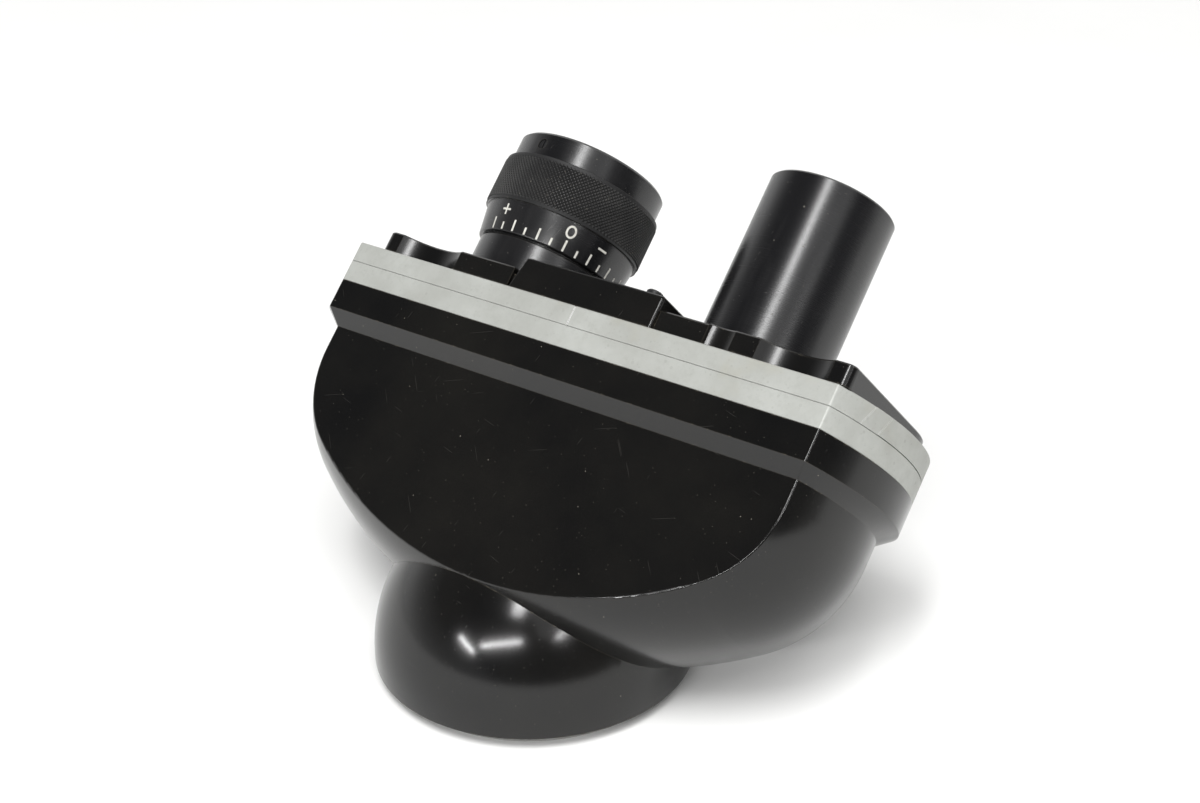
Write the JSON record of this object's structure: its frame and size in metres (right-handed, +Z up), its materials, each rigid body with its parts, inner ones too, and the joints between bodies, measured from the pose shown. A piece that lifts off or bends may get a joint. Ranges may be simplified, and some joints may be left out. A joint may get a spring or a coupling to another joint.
{
  "type": "inclined binocular viewing head",
  "caption": "Inclined binocular viewing head with sliding eyepiece tubes, a flat D-shaped prism housing and a domed round mount.",
  "frame": {"origin": "centre of the mount ring's seating face", "axes": "+Z up the mount's axis, +X towards the user's right hand, -Y towards the user, eyepiece tubes lean 45 degrees towards -Y"},
  "size_m": [0.1304, 0.1017, 0.0919],
  "materials": {
    "black_enamel": "gloss black stoving enamel on a light alloy casting",
    "black_cover": "gloss black enamel",
    "black_tube": "polished black lacquer",
    "satin_strip": "satin, finely ground edge",
    "ring_steel": "turned, bright",
    "steel": "bright",
    "black_screw": "blackened",
    "brass": "plain",
    "inner_aluminium": "matt black inside finish",
    "optical_glass": "polished"
  },
  "bodies": {
    "head": {"prism_housing": "black_enamel", "mount_ring": "ring_steel", "mount_ring_screws": "steel", "entrance_window": "optical_glass", "window_retainer": "black_screw", "deflection_prism": "optical_glass", "deflection_bracket": "steel", "bracket_screws": "steel", "splitter_cage": "inner_aluminium", "cage_screws": "steel", "splitter_prism_lower": "optical_glass", "splitter_prism_upper": "optical_glass", "path_block": "optical_glass", "frame_plate": "satin_strip", "rear_rail_left": "satin_strip", "rear_rail_right": "satin_strip", "front_rail_left": "satin_strip", "front_rail_right": "satin_strip", "gib_left": "satin_strip", "gib_right": "satin_strip", "rail_screws": "steel", "pinion_axle": "steel", "middle_cover": "black_cover", "cover_screws": "black_screw", "friction_spring": "brass", "spring_screw": "black_screw"},
    "left_eye": {"left_slide": "satin_strip", "left_grip_plate": "black_cover", "left_grip_screws": "black_screw", "plain_tube": "black_tube", "left_rack": "steel", "left_rack_screws": "steel", "left_prism_carrier": "inner_aluminium", "left_side_prism": "optical_glass", "left_carrier_screws": "steel", "left_stop_screw": "steel"},
    "right_eye": {"right_slide": "satin_strip", "right_grip_plate": "black_cover", "right_grip_screws": "black_screw", "dioptre_neck": "black_tube", "guide_screw": "black_screw", "ring_retainer": "black_screw", "right_rack": "steel", "right_rack_screws": "steel", "right_prism_carrier": "inner_aluminium", "right_side_prism": "optical_glass", "right_carrier_screws": "steel", "right_stop_screw": "steel"},
    "dioptre_ring": {"dioptre_ring": "black_tube"},
    "eyepiece_sleeve": {"eyepiece_sleeve": "black_tube", "sleeve_set_screw": "black_screw"},
    "pinion": {"pinion": "brass"}
  },
  "joints": [
    {"name": "left_slide_move", "type": "slide", "parent": "head", "child": "left_eye", "axis": [-1, 0, 0], "range_m": [0, 0.0095]},
    {"name": "right_slide_move", "type": "slide", "parent": "head", "child": "right_eye", "axis": [1, 0, 0], "range_m": [0, 0.0095]},
    {"name": "pinion_turn", "type": "hinge", "parent": "head", "child": "pinion", "pos_m": [0, -0.02772, 0.04961], "axis": [0, -0.7071, 0.7071], "range_deg": [-105, 0]},
    {"name": "dioptre_turn", "type": "hinge", "parent": "right_eye", "child": "dioptre_ring", "pos_m": [0.028, -0.04628, 0.06817], "axis": [0, -0.7071, 0.7071], "range_deg": [-90, 90]},
    {"name": "sleeve_move", "type": "slide", "parent": "right_eye", "child": "eyepiece_sleeve", "axis": [0, -0.7071, 0.7071], "range_m": [-0.003, 0.003]}
  ],
  "couplings": [
    {"joint": "right_slide_move", "follows": "left_slide_move", "ratio": 1},
    {"joint": "pinion_turn", "follows": "left_slide_move", "rad_per_m": -185.19},
    {"joint": "sleeve_move", "follows": "dioptre_turn", "m_per_rad": 0.0019099}
  ]
}
